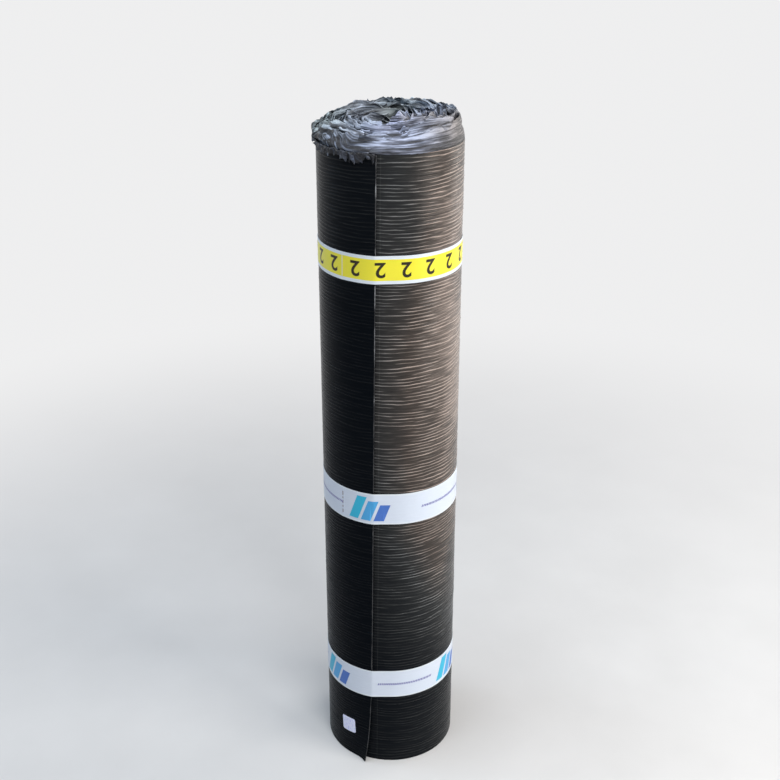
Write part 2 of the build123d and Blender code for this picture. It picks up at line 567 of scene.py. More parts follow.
def ripple_lines(tree):
    """The film's finest cross ripples: thin, broken, wavy lines round the roll, from 0 to 1."""
    up = sheet_axes(tree)[1]
    phase = scaled(tree, up, TAU / LINE_PITCH, 0.0)
    phase = scaled(tree, stretched(tree, *LINE_BEND), 22.0, phase)
    phase = scaled(tree, stretched(tree, *LINE_WAVER), 4.0, phase)
    wave = scaled(tree, maths(tree, "COSINE", phase), 0.5, 0.5)
    crest = maths(tree, "POWER", wave, float(RIPPLE_SHARPNESS))
    broken = fade_between(tree, stretched(tree, *LINE_BREAKS), 0.38, 0.58)
    return times(tree, crest, broken)


def margin_line(tree):
    """A faint, broken pale line on the film a few millimetres past the lap's edge, from 0 to 1."""
    along, up = sheet_axes(tree)
    middle = scaled(tree, up, -MARGIN_SPREAD, MARGIN_FROM_LAP + MARGIN_SPREAD)
    wavy = scaled(tree, stretched(tree, *MARGIN_BEND), MARGIN_WAVER, -MARGIN_WAVER / 2)
    apart = maths(tree, "ABSOLUTE", maths(tree, "SUBTRACT", along, maths(tree, "ADD", middle, wavy)))
    line = fade_between(tree, apart, MARGIN_HALF_WIDTH, 0.0)
    return times(tree, line, stretched(tree, *MARGIN_BREAKS))


def felt_material():
    """Black sheet under glossy film: pale, brown-grey ripples where the shade attribute is high,
    with painted glints on the ripple lines and a painted reflection tint.
    """
    mat, tree, shader = material("film_faced_felt", IOR=1.5, Roughness=0.26, Specular_IOR_Level=0.2)
    pale = share(tree)
    lines = ripple_lines(tree)
    streak = stretched(tree, *FELT_STREAKS)
    # The ripple lines lighten the colour: painted glints on the crests, partly the paler film standing
    # free.
    tone = scaled(tree, lines, scaled(tree, pale, -1.8, 2.3), scaled(tree, pale, 0.5, 0.3))
    tone = times(tree, tone, scaled(tree, streak, 1.6, 0.2))
    tone = scaled(tree, tone, pale, times(tree, margin_line(tree), 0.22))
    # Painted reflection: a cool tint where the film is dark and a warm one where it is pale.
    reflection_cast = ramp(tree, pale, FELT_REFLECTION_CAST)
    colour = mixed(tree, 1.0, ramp(tree, tone, FELT_TONES), reflection_cast, "MULTIPLY")
    link(tree, shader, Base_Color=colour, Roughness=scaled(tree, streak, 0.2, 0.16))
    gloss = scaled(tree, pale, 0.45, 0.03)
    link(tree, shader, Specular_IOR_Level=gloss, Specular_Tint=ramp(tree, pale, FELT_GLOSS))
    first = bump(tree, shader, lines, 0.0007, 0.8)
    bump(tree, shader, stretched(tree, *FELT_SCRATCHES), 0.0005, 0.5, first)
    return mat


felt_sheet(felt_material())

# The facing film's cut edge along the lap, with its section as distances past the edge and above it.
EDGE_ROWS = 400
EDGE_PAST = np.array([-0.0007, -0.0003, 0.0, 0.0004, 0.0004, 0.0, -0.0003, -0.0007])
EDGE_ABOVE = np.array([0.00022, 0.00034, 0.00036, 0.00026, 0.00014, 0.00010, 0.00008, 0.00004])
EDGE_RAGGED = ((0.5, 0.013, 41), (0.3, 0.004, 42))
# How light the cut edge is: its own pale grey, partly a painted highlight where it catches light, in broken
# stretches and darker towards the foot.
EDGE_LIGHT = ((0.55, 0.018, 43),)
EDGE_LIGHTER_ABOVE = (0.50, 0.35, 0.35, 1)
EDGE_UNDER_TAPE = 0.0005
LAP_END = 1 - 1e-6
TANGENT_STEP = 0.001
EDGE_SPECKS = (300, 90, 3)
EDGE_TONES = [(0.2, (0.02, 0.02, 0.022)), (0.5, (0.26, 0.265, 0.275))]


def lap_edge_material():
    mat, tree, shader = material("lap_edge_film", Roughness=0.35)
    tone = times(tree, share(tree), stretched(tree, *EDGE_SPECKS))
    link(tree, shader, Base_Color=ramp(tree, tone, EDGE_TONES))
    return mat


def lap_edge():
    """The film's cut edge along the lap: a thin strip that stands a little past the sheet."""
    z, past = np.meshgrid(wall_heights(EDGE_ROWS), EDGE_PAST, indexing="ij")
    past_ragged = past * (1 + waves(z, EDGE_RAGGED, 0))
    turn = 1 + past_ragged / ONE_ROUND
    held = np.minimum(turn, LAP_END)
    above = EDGE_ABOVE - EDGE_UNDER_TAPE * under_tape(z)
    points = place(held - recede(held, z), z, flare(held, z) + above)
    tangent = place(LAP_END, z) - place(1 - TANGENT_STEP, z)
    tangent /= np.linalg.norm(tangent, axis=-1, keepdims=True)
    points = points + np.where((turn > 1)[..., None], tangent * past_ragged[..., None], 0)
    faces = tube_faces(EDGE_ROWS + 1, len(EDGE_PAST))
    # Partly painted highlight: the edge is made lighter where it would catch light.
    light = (0.62 + waves(z, EDGE_LIGHT, 0)) * eased(z, *EDGE_LIGHTER_ABOVE)
    make("lap_edge_film", points, faces, lap_edge_material(), joined(past, z, 0), light, angle=0)


lap_edge()

# The film that stands above the felt at the top end: thin ribbons along the whole winding. Its
# length in millimetres and its lean outward in degrees, at the rim and near the hollow, go by
# direction in degrees right of the camera.
FILM_SIDES = (-180, -140, -100, -60, -12, 12, 38, 60, 95, 140, 180)
FILM_LONG_RIM = (33, 32, 29, 25, 23, 25, 30, 33, 34, 34, 33)
FILM_LONG_CORE = (31, 27, 25, 25, 27, 31, 34, 35, 35, 34, 31)
FILM_LEAN_RIM = (-10, -20, -26, -56, -64, -58, -32, -16, -9, -8, -10)
FILM_LEAN_CORE = (-40, -24, -16, -20, -36, -46, -50, -54, -56, -48, -40)
MILLIMETRE = 0.001

# The ribbons: first and last turn, distance from the sheet's face, and seed.
FILM_FACES = {
    "film_outer_face": (-16.8, 0.9985, -0.0003, 30),
    "film_inner_face": (-16.4, -0.02, 0.0004, 60),
}
FILM_ROWS = 18
FILM_THICKNESS = 0.00014
FILM_ROOT = 0.0012
FILM_COARSE = 0.0050
FILM_FINE = 0.0019
FILM_REACH = 0.0095
FILM_REACH_LEAST = 0.004
FILM_FROM_AXIS = 0.006
FILM_LOWEST = 0.022

# The skirt is the film that is folded down over the lap. Its lean is in radians.
SKIRT_FROM = 0.75
SKIRT_STEP = 0.0011
SKIRT_DROP = 0.004
SKIRT_DROP_MORE = 0.015
SKIRT_DROP_TURNS = 0.21
SKIRT_LEAN = 2.45
SKIRT_CLOSER = 0.0025

# Unevenness along the winding, as (strength, length, step of the seed).
LENGTH_WAVES = ((0.20, 0.17, 2), (0.12, 0.03, 3))
LENGTH_NICKS = ((0.06, 0.0055, 9),)
BACK_NICKS = ((0.10, 0.0036, 14),)
LEAN_WAVES = ((0.14, 0.05, 1),)
SKIRT_LEAN_WAVES = ((0.35, 0.013, 4),)
SKIRT_WAVES = ((0.16, 0.014, 5), (0.30, 0.0042, 10), (0.35, 0.0019, 15))

# Unevenness over the crown, and how many turns lie from one clump of them to the next.
PIT_SIZE = 0.019
LEAN_SIZE = 0.045
CLUMP_SIZE = 0.06
CLUMP_TURNS = 2.7
PLEAT_DEPTH = 0.0026
PLEAT_LENGTH = 0.0048
SLIDE_LENGTH = 0.022
FOLD_WIDE, FOLD_MIDDLE, FOLD_SMALL, FOLD_FINE = 0.060, 0.040, 0.013, 0.0042

# Stretches of the crown, as (middle, reach) in degrees right of the camera.
FINE_LEFT = (-75, 75)
FINE_BACK = (175, 90)
BUNCHED = (-95, 60)
# The shaded stretch gets painted shade.
SHADED = (-46, 42)
BACK = (180, 110)
FRONT = (35, 110)
CALM = (60, 70)
STRANDS = (125, 75)
LAVENDER_FRONT = (10, 80)
LAVENDER_RIGHT = (105, 60)
OLIVE_LEFT = (-100, 60)
OLIVE_BACK = (170, 60)
MOSS_BACK = (175, 70)
EARTH_RIGHT = (72, 62)
# Where the crown gets painted light and painted shade.
PAINTED_LIGHT_BACK = (180, 90)
PAINTED_SHADE_RIGHT = (68, 50)

# The creases turn about the left direction between these two, and about the right one elsewhere.
CREASE_CHANGES = (-158, 20)
CREASE_LEFT, CREASE_RIGHT = -95, 125

LAVENDER = (0.39, 0.43, 0.60)
SILVER = (0.42, 0.47, 0.56)
OLIVE = (0.42, 0.50, 0.49)
MOSS = (0.24, 0.255, 0.21)
EARTH = (0.28, 0.25, 0.24)
# The bluish colour of painted shade.
PAINTED_SHADE_BLUE = (0.18, 0.22, 0.31)
FILM_BLOTCHES = (16, 95, 3, 0.6)
FILM_STREAKS = (16, 270, 4, 0.62, 3)
FILM_FOLDS = (18, 300, 4, 0.6, 4)
FILM_CREASES = (90, 240, 3, 0.6, 8)
FILM_LEVELS = [(0.0, (0.02, 0.02, 0.025)), (0.4, (0.25, 0.25, 0.26)), (1.0, (1.15, 1.15, 1.15))]


def degrees_apart(side, middle):
    """Difference of two directions, from -180 to 180."""
    return (side - middle + 180) % 360 - 180


def side_of(turn):
    """Direction of a place on the winding, in degrees right of the camera."""
    return degrees_apart(360 * turn - 90 + math.degrees(LAP_LEAN) / 2, math.degrees(VIEW_TURN))


def near(side, stretch):
    """1 in the middle of a stretch of directions, fading to 0 at its ends."""
    middle, reach = stretch
    return smooth(1 - np.abs(degrees_apart(side, middle)) / reach)


def blend(first, second, part):
    part = np.asarray(part)[..., None]
    return np.asarray(first) * (1 - part) + np.asarray(second) * part


def film_stations(first, last):
    """Turns at which a ribbon has points, closer together where the film is pleated."""
    turns = [first]
    while turns[-1] < last:
        turn = turns[-1]
        side = side_of(turn)
        left = float(near(side, FINE_LEFT)) * max(0.0, 1 + turn / 6)
        back = float(near(side, FINE_BACK)) * max(0.0, 1 + turn / 1.5)
        step = FILM_COARSE + (FILM_FINE - FILM_COARSE) * min(1, 2 * max(left, back))
        if turn > SKIRT_FROM:
            step = SKIRT_STEP
        turns.append(turn + step / (TAU * max(RADIUS + turn * SHEET, BORE)))
    return np.array(turns)


def film_places(first, last):
    """What the ribbon's shape and colour go by, at each place along it."""
    at = SimpleNamespace(turn=film_stations(first, last))
    at.radius = np.maximum(RADIUS + at.turn * SHEET, BORE)
    at.along = np.concatenate([[0], np.cumsum(np.diff(at.turn) * TAU * at.radius[1:])])
    at.x, at.y = place(at.turn, HEIGHT)[:, :2].T
    at.side = side_of(at.turn)
    at.inward = np.clip((RADIUS - at.radius) / (RADIUS - BORE), 0, 1)
    at.deep = smooth(at.inward * 1.5)
    at.outer = 1 - smooth(-at.turn / 1.6)
    at.skirt = smooth(at.turn / 0.01) * smooth((at.turn - SKIRT_FROM) / 0.05)
    at.shaded = near(at.side, SHADED) * (1 - smooth(-at.turn / 5.0))
    at.bulge = near(at.side, BUNCHED) * (1 - smooth(at.inward * 3.2)) * (1 - 0.8 * at.skirt)
    at.behind = near(at.side, BACK)
    at.front = near(at.side, FRONT)
    at.strands = near(at.side, STRANDS) * smooth(at.inward * 5) * (1 - at.outer)
    at.even = 1 - 0.75 * at.outer * at.behind
    at.calm = (1 - 0.6 * at.outer * near(at.side, CALM)) * (1 - 0.5 * at.front) * (0.4 + 0.6 * at.even)
    return at


def by_side(at, rim, core):
    """A value by direction, from one row of them at the rim to another near the hollow."""
    at_rim, at_core = np.interp(at.side, FILM_SIDES, rim), np.interp(at.side, FILM_SIDES, core)
    return at_rim * (1 - at.deep) + at_core * at.deep


def film_length(at, seed):
    """How far the film reaches from the felt, with pits, nicks and longer and shorter clumps."""
    pit = smooth((noise(at.x / PIT_SIZE + 7, at.y / PIT_SIZE, 12) - 0.25) / 0.4)
    pit = pit * smooth(at.inward * 4) * (1 - 0.7 * at.front)
    length = MILLIMETRE * by_side(at, FILM_LONG_RIM, FILM_LONG_CORE) * (1 - 0.45 * pit)
    length *= 1 + at.even * waves(at.along, LENGTH_WAVES, seed)
    length *= 1 + waves(at.along, LENGTH_NICKS, seed)
    length *= 1 + at.outer * at.behind * waves(at.along, BACK_NICKS, seed)
    length *= 1 + 0.14 * np.cos(TAU * at.turn / CLUMP_TURNS) * smooth(at.inward * 6)
    drop = SKIRT_DROP + SKIRT_DROP_MORE * smooth((at.turn - SKIRT_FROM) / SKIRT_DROP_TURNS)
    ragged = drop * (1 + waves(at.along, SKIRT_WAVES, seed))
    return length * (1 - at.skirt) + ragged * at.skirt


def film_lean(at, seed):
    """How far the film leans outward, in radians."""
    lean = np.radians(by_side(at, FILM_LEAN_RIM, FILM_LEAN_CORE))
    together = 0.26 * noise(at.x / LEAN_SIZE + 3, at.y / LEAN_SIZE, 11)
    lean = lean + at.even * (together + waves(at.along, LEAN_WAVES, seed))
    clump = at.turn / CLUMP_TURNS + 0.35 * patches(at.x, at.y, (CLUMP_SIZE, CLUMP_SIZE), 14)
    lean = lean + 0.30 * np.sin(TAU * clump) * smooth(at.inward * 6)
    return lean * (1 - at.skirt) + (SKIRT_LEAN + waves(at.along, SKIRT_LEAN_WAVES, seed)) * at.skirt


def film_fold(at, lean, part, seed):
    """Direction of the film, in radians outward from upright, after this part of its length."""
    bunch = 1.5 * math.sin(math.pi * min(1, part / 0.55)) - 1.1 * smooth((part - 0.5) / 0.3)
    fold = lean * smooth(part / 0.34) * (0.82 + 0.3 * part) + at.bulge * bunch
    wide = noise(at.along / FOLD_WIDE, 4.0 * part + 0.3 * at.turn, seed + 6)
    middle = noise(at.along / FOLD_MIDDLE, 9.0 * part, seed + 7)
    small = noise(at.along / FOLD_SMALL, 11.0 * part, seed + 13)
    fine = noise(at.along / FOLD_FINE, 1.6 * part, seed + 11)
    fold = fold + at.calm * 0.60 * smooth(part * 2) * wide
    fold = fold + at.calm * 0.65 * smooth(part * 1.6) * middle
    fold = fold + at.calm * 0.35 * part * small
    return fold + (at.bulge + at.skirt) * 0.5 * fine


def film_points(at, length, shift, seed):
    """The ribbon's points, grown from the felt step by step along the film's direction."""
    lean = film_lean(at, seed)
    out = np.full_like(at.turn, shift)
    z = np.full_like(at.turn, HEIGHT - FILM_ROOT)
    slide = np.zeros_like(at.turn)
    step = length / FILM_ROWS
    furthest = np.maximum(RADIUS + FILM_REACH - at.radius, FILM_REACH_LEAST) - SKIRT_CLOSER * at.skirt
    rows = [place(at.turn, z, out)]
    for k in range(1, FILM_ROWS + 1):
        part = k / FILM_ROWS
        fold = film_fold(at, lean, part, seed)
        z = z + np.cos(fold) * step
        out = np.minimum(out + np.sin(fold) * step, furthest)
        out = np.maximum(out, FILM_FROM_AXIS - at.radius)
        slide = slide + 0.25 * noise(at.along / SLIDE_LENGTH, 2.5 * part, seed + 8) * step
        pleat = PLEAT_DEPTH * smooth(part * 3) * noise(at.along / PLEAT_LENGTH, 0.8 * part, seed + 12)
        pleat = pleat * (at.bulge + at.skirt + 0.7 * at.strands)
        moved = at.turn + slide / (TAU * at.radius)
        rows.append(place(moved, np.maximum(z, HEIGHT - FILM_LOWEST), out + pleat))
    return np.stack(rows, axis=1)


def film_spread(at, length, part):
    """Coordinates for the creases, which turn about the middle of a pleated stretch."""
    crease = (1.1 * at.skirt + 1.35 * at.bulge + 0.95 * at.strands)[:, None]
    on_left = (at.side > CREASE_CHANGES[0]) & (at.side < CREASE_CHANGES[1])
    middle = np.where(on_left, CREASE_LEFT, CREASE_RIGHT)
    apart = (np.radians(degrees_apart(at.side, middle)) * at.radius)[:, None]
    up = part * length[:, None]
    along = at.along[:, None] - apart + apart * np.cos(crease) + up * np.sin(crease)
    across = up * np.cos(crease) - apart * np.sin(crease)
    return joined(along, across, at.turn[:, None])


def film_shade(at, part):
    """How light the film is, from its foot to its edge: painted shade and painted light."""
    # Painted shade: the film darkens towards its foot, down in the crevices between turns; the first turn
    # less so.
    first_turn = (at.outer * (1 - at.skirt))[:, None]
    shade = part * (1 - first_turn) + (0.55 + 0.45 * part) * first_turn
    # Painted light on the back of the crown and on the bunched stretch, which the lamps leave dim.
    painted_lift = (np.maximum(0.92 * at.behind, 0.2 * at.bulge) * (1 - at.skirt))[:, None]
    shade = shade * (1 - painted_lift) + painted_lift
    # Painted shade on the folded-down skirt and on the shaded stretch.
    return shade * (1 - np.maximum(0.75 * at.skirt, 0.62 * at.shaded)[:, None])


def film_colour(at):
    """The film's colour by direction: partly its own and the felt's under it, partly painted reflections
    of the sky, with painted light and painted shade.
    """
    colour = blend(SILVER, LAVENDER, near(at.side, LAVENDER_FRONT) * (0.6 + 0.4 * at.deep))
    olive = np.maximum(near(at.side, OLIVE_LEFT) * 0.8, near(at.side, OLIVE_BACK) * 0.4)
    colour = blend(colour, OLIVE, olive * (1 - at.deep))
    colour = blend(colour, MOSS, near(at.side, MOSS_BACK) * at.deep * 0.7)
    colour = blend(colour, LAVENDER, near(at.side, LAVENDER_RIGHT) * at.deep * 0.8)
    colour = blend(colour, EARTH, near(at.side, EARTH_RIGHT) * (0.7 + 0.25 * at.outer))
    # Painted shade, bluish, on the shaded stretch and on the folded-down skirt.
    colour = blend(colour, PAINTED_SHADE_BLUE, at.shaded * 0.9)
    colour = blend(colour, PAINTED_SHADE_BLUE, at.skirt * 0.9)
    # Painted light at the back of the crown and painted shade on its right.
    light = 1 + 0.30 * near(at.side, PAINTED_LIGHT_BACK) * (1 - at.deep) - 0.22 * near(at.side, PAINTED_SHADE_RIGHT)
    return colour * light[:, None]


def film_ribbon(name, first, last, shift, seed, mat):
    """One face of the standing film, all along the winding."""
    at = film_places(first, last)
    length = film_length(at, seed)
    points = film_points(at, length, shift, seed)
    part = np.broadcast_to(np.arange(FILM_ROWS + 1) / FILM_ROWS, points.shape[:2])
    spread, shade = film_spread(at, length, part), film_shade(at, part)
    tint = np.broadcast_to(film_colour(at)[:, None, :], points.shape)
    faces = grid_faces(len(at.turn), FILM_ROWS + 1)
    film = make(name, points, faces, mat, spread, shade, tint=tint, angle=0)
    film.modifiers.new("thickness", "SOLIDIFY").thickness = FILM_THICKNESS


def film_material():
    """Silvery crumpled film, tinted by its tint attribute, lighter towards its edge: painted shade at its
    foot.
    """
    mat, tree, shader = material("crumpled_film", Roughness=0.34, Specular_IOR_Level=0.34, IOR=1.5)
    own = attribute(tree, "tint", "Color")
    tone = scaled(tree, stretched(tree, *FILM_BLOTCHES), 2.4, -1.2)
    tone = scaled(tree, stretched(tree, *FILM_STREAKS), 3.2, tone)
    # The shade attribute darkens the film towards its foot: painted shade.
    tone = maths(tree, "ADD", tone, scaled(tree, share(tree), 0.9, -1.85))
    link(tree, shader, Base_Color=mixed(tree, 1.0, own, ramp(tree, tone, FILM_LEVELS), "MULTIPLY"))
    first = bump(tree, shader, stretched(tree, *FILM_FOLDS), 0.0022, 0.9)
    bump(tree, shader, stretched(tree, *FILM_CREASES), 0.0009, 0.6, first)
    return mat


crumpled = film_material()
for name, values in FILM_FACES.items():
    film_ribbon(name, *values, crumpled)

# The tapes: thin strips once round the roll, whose last stretch is stuck over their start.
TAPE_COLUMNS = 300
TAPE_ROWS = 8
TAPE_OVERLAP = 0.010
TAPE_GAP = 0.00005
TAPE_THICKNESS = 0.00033
TAPE_LAP_FROM, TAPE_LAP_FADE = 0.004, 0.006
TAPE_LAP_RISE = 0.9
TAPE_DRIFT, TAPE_DRIFT_LENGTH = 0.0004, 0.05
TAPE_WAVE, TAPE_WAVE_LENGTH = 0.00008, 0.03
TAPE_LINE_PITCH = 0.0016
TAPE_BREAKS = (60, 500, 3, 0.6)
TAPE_WRINKLES = (30, 200, 3)
INK_SPECKS = (400, 400, 3)
PRINT_GAP = 0.00012
PRINT_CUT = 0.0015

YELLOW = (0.84, 0.765, 0.035)
YELLOW_BORDER, YELLOW_LINES = 0.12, 0.35
PALE = (0.70, 0.76, 0.82)
WHITE = (0.68, 0.75, 0.86)
WHITE_BORDER, WHITE_LINES = 0.05, 0.8
LINE_DARKNESS = 0.72
INKS = {
    "dark": (0.020, 0.014, 0.006),
    "blue": (0.06, 0.16, 0.52),
    "sky": (0.07, 0.37, 0.72),
    "cyan": (0.03, 0.46, 0.68),
    "violet": (0.10, 0.09, 0.36),
    "pale": (0.80, 0.78, 0.52),
    "stain": (0.26, 0.20, 0.22),
}
INK_WORN = 0.25
DARK_INK_WORN = 0.12
WORN_GREY = 0.3


def tape_material(name, colour, border, lines):
    """A tape with a pale border of some share of its width along both edges, and fine lines."""
    mat, tree, shader = material(name, Roughness=0.34, Specular_IOR_Level=0.5)
    from_middle = maths(tree, "ABSOLUTE", maths(tree, "SUBTRACT", share(tree), 0.5))
    inside = maths(tree, "LESS_THAN", from_middle, 0.5 - border)
    wave = maths(tree, "SINE", times(tree, sheet_axes(tree)[1], TAU / TAPE_LINE_PITCH))
    line = times(tree, scaled(tree, wave, 0.5, 0.5), lines)
    line = times(tree, line, stretched(tree, *TAPE_BREAKS))
    darker = tuple(LINE_DARKNESS * channel for channel in colour)
    inner = mixed(tree, line, (*colour, 1), (*darker, 1))
    link(tree, shader, Base_Color=mixed(tree, inside, (*PALE, 1), inner))
    first = bump(tree, shader, wave, 0.00005, 0.4 * lines)
    bump(tree, shader, stretched(tree, *TAPE_WRINKLES), 0.0004, 0.35, first)
    return mat


def ink_material(name, colour):
    """Ink that is slightly worn towards grey in specks, the dark one less so."""
    mat, tree, shader = material(name + "_ink", Roughness=0.4, Specular_IOR_Level=0.3)
    worn = DARK_INK_WORN if name == "dark" else INK_WORN
    faded = tuple(channel + worn * WORN_GREY * (1 - channel) for channel in colour)
    paint = ramp(tree, stretched(tree, *INK_SPECKS), [(0.0, faded), (0.45, colour), (1.0, colour)])
    link(tree, shader, Base_Color=paint)
    return mat


def tape_strip(name, slot, mat):
    """One tape. Gives its slot, and what lays flat shapes on it, from x along it and y up it."""
    tape = TAPES[name]

    def path(turn, up, out):
        tilt = tape["tilt"] * np.sin(TAU * (turn - tape["tilt_turn"]))
        over = smooth((turn - tape["start"] - 1 + TAPE_LAP_FROM) / TAPE_LAP_FADE)
        rise = over * TAPE_THICKNESS * TAPE_LAP_RISE
        return wrap(turn, tape["middle"] + up + tilt, TAPE_GAP + rise + out)

    turns = tape["start"] + (1 + TAPE_OVERLAP) * np.arange(TAPE_COLUMNS + 1) / TAPE_COLUMNS
    turn, across = np.meshgrid(turns, np.arange(TAPE_ROWS + 1) / TAPE_ROWS, indexing="ij")
    along = turn * ONE_ROUND
    up = (across - 0.5) * tape["width"] + TAPE_DRIFT * noise(along / TAPE_DRIFT_LENGTH, across * 0.5, 21)
    wave = TAPE_WAVE * noise(along / TAPE_WAVE_LENGTH, across * 9, 22)
    outside = path(turn, up, TAPE_THICKNESS + wave)
    inside = path(turn, up, 0.0)
    points = np.concatenate([outside, inside[:, ::-1]], axis=1)
    shade = np.concatenate([across, across[:, ::-1]], axis=1)
    spread = on_sheet(np.concatenate([turn, turn], axis=1), shade * tape["width"])
    faces = tube_faces(*points.shape[:2], flip=True)
    make(name + "_strip", points, faces, mat, spread, shade, (name,))

    def lay(x, y):
        return path(tape["start"] + x / ONE_ROUND, y, TAPE_THICKNESS + PRINT_GAP)

    return SimpleNamespace(slot=slot, lay=lay)


def lay_print(name, bm, strip, mat):
    """Cuts flat shapes finely enough to bend, and lays them on a tape as its print."""
    reach = [vert.co.x for vert in bm.verts]
    first, last = min(reach), max(reach)
    for i in range(1, int((last - first) / PRINT_CUT) + 1):
        geometry = bm.verts[:] + bm.edges[:] + bm.faces[:]
        cut = (first + i * PRINT_CUT, 0, 0)
        bmesh.ops.bisect_plane(bm, geom=geometry, plane_co=cut, plane_no=(1, 0, 0))
    bmesh.ops.triangulate(bm, faces=bm.faces[:])
    bm.verts.index_update()
    flat = np.array([vert.co[:] for vert in bm.verts])
    faces = [tuple(vert.index for vert in face.verts) for face in bm.faces]
    bm.free()
    points = strip.lay(flat[:, 0], flat[:, 1])
    make(name, points, faces, mat, flat, flat[:, 1], angle=0)


def print_outlines(name, outlines, strip, mat):
    """Prints shapes that are given as lists of (x along, y up) points."""
    bm = bmesh.new()
    for outline in outlines:
        bm.faces.new([bm.verts.new((x, y, 0)) for x, y in outline])
    lay_print(name, bm, strip, mat)


yellow_material = tape_material("yellow_tape_film", YELLOW, YELLOW_BORDER, YELLOW_LINES)
white_material = tape_material("white_tape_film", WHITE, WHITE_BORDER, WHITE_LINES)
inks = {name: ink_material(name, colour) for name, colour in INKS.items()}
top_strip = tape_strip("top_tape", "yellow_tape", yellow_material)
middle_strip = tape_strip("middle_tape", "white_tape", white_material)
bottom_strip = tape_strip("bottom_tape", "white_tape", white_material)

# The yellow tape's print: the digit 2 again and again, head down.
DIGITS = 18
DIGIT_FIRST = 0.0256
DIGIT_STEP = 0.0352
DIGIT_HEIGHT = 0.0220
DIGIT_BOLDNESS = 0.020
DIGIT_CURVE_STEPS = 4


def digit_outline():
    """The digit 2 in the plane, head down, with its middle at the origin: points and polygons."""
    curve = bpy.data.curves.new("digit", "FONT")
    curve.body = "2"
    curve.resolution_u = DIGIT_CURVE_STEPS
    curve.offset = DIGIT_BOLDNESS
    holder = into_scene("digit", curve)
    mesh = bpy.data.meshes.new_from_object(holder)
    bpy.data.objects.remove(holder)
    points = np.array([vert.co[:] for vert in mesh.vertices])
    low, high = points.min(0), points.max(0)
    scale = DIGIT_HEIGHT / (high[1] - low[1])
    return -(points - (low + high) / 2) * scale, [tuple(face.vertices) for face in mesh.polygons]


def print_digits():
    points, polygons = digit_outline()
    bm = bmesh.new()
    for i in range(DIGITS):
        verts = [bm.verts.new((x + DIGIT_FIRST + DIGIT_STEP * i, y, 0)) for x, y, _ in points]
        for polygon in polygons:
            bm.faces.new([verts[k] for k in polygon])
    lay_print("tape_digits", bm, top_strip, inks["dark"])


print_digits()

# The white tapes' print: three slanted bars, then a row of small ticks, three times round the roll.
MOTIFS = 3
MOTIF_PITCH = ONE_ROUND / MOTIFS
FIRST_MOTIF = {"middle": 0.0467, "bottom": 0.0340}
BAR_LEAN = 0.35
BAR_WIDTH = 0.0150
BAR_STEP = 0.0194
BAR_FOOT = -0.0195
BARS_BEFORE_MOTIF = 1.5 * BAR_WIDTH + 0.008
BAR_HEIGHTS = {"cyan": 0.039, "sky": 0.033, "blue": 0.027}
TICKS = 31
TICK_STEP = 0.0029
TICK_FROM_MOTIF = 0.0800
TICK_FOOT = -0.0018
TICK_WIDTH = 0.0016
TICK_HEIGHT = 0.0036


def slanted(x, y, width, height, lean=BAR_LEAN):
    """A slanted bar, from its lower left corner."""
    top, shift = y + height, height * lean
    return [(x, y), (x + width, y), (x + width + shift, top), (x + shift, top)]


def print_motifs(name, strip):
    motifs = [FIRST_MOTIF[name] + MOTIF_PITCH * i for i in range(MOTIFS)]
    for k, (colour, tall) in enumerate(BAR_HEIGHTS.items()):
        starts = [x - BARS_BEFORE_MOTIF + BAR_STEP * k for x in motifs]
        bars = [slanted(x, BAR_FOOT, BAR_WIDTH, tall) for x in starts]
        print_outlines(f"{name}_bars_{colour}", bars, strip, inks[colour])
    starts = [x + TICK_FROM_MOTIF + TICK_STEP * k for x in motifs for k in range(TICKS)]
    ticks = [slanted(x, TICK_FOOT, TICK_WIDTH, TICK_HEIGHT) for x in starts]
    print_outlines(name + "_ticks", ticks, strip, inks["violet"])


print_motifs("middle", middle_strip)
print_motifs("bottom", bottom_strip)

# The tapes' joints: a pale line along the yellow one's, and stains, as (foot, height), on another.
JOINT = ONE_ROUND + 0.0058
JOINT_LINE = slanted(JOINT - 0.0016, -0.0150, 0.0018, 0.0300, 0.0)
STAIN_LEFT = JOINT - 0.0026
STAIN_WIDTH = 0.0016
STAINS = [(-0.0185, 0.006), (-0.0095, 0.0035), (-0.003, 0.0055), (0.0055, 0.003), (0.011, 0.007)]
joint_stains = [slanted(STAIN_LEFT, y, STAIN_WIDTH, tall, 0.0) for y, tall in STAINS]
print_outlines("top_joint", [JOINT_LINE], top_strip, inks["pale"])
print_outlines("middle_joint", joint_stains, middle_strip, inks["stain"])

# The small sticker on the lap, turned a little.
LABEL_WIDTH = 0.0262
LABEL_HEIGHT = 0.0270
LABEL_CORNER = 0.003
LABEL_MIDDLE = 0.057
LABEL_TILT = math.radians(4)
LABEL_BEFORE_LAP = 27 / 360
LABEL_POINTS = 14
LABEL_BACK = 0.00005
LABEL_RIM = 0.0004
LABEL_FRONT = 0.00055
PAPER_SPECKS = (300, 220, 4)
PAPER_TONES = [(0.3, (0.34, 0.40, 0.86)), (0.46, (0.74, 0.77, 0.98)), (1.0, (0.88, 0.90, 0.99))]


def label_material():
    mat, tree, shader = material("label_paper", Roughness=0.6)
    tone = stretched(tree, *PAPER_SPECKS)
    link(tree, shader, Base_Color=ramp(tree, tone, PAPER_TONES))
    bump(tree, shader, tone, 0.0002, 0.4)
    return mat


def grid_rim(n):
    """Numbers of the outermost points of a square grid, in order round it."""
    grid = np.arange(n * n).reshape(n, n)
    return np.concatenate([grid[:, 0], grid[-1, 1:], grid[-2::-1, -1], grid[0, -2:0:-1]]).tolist()


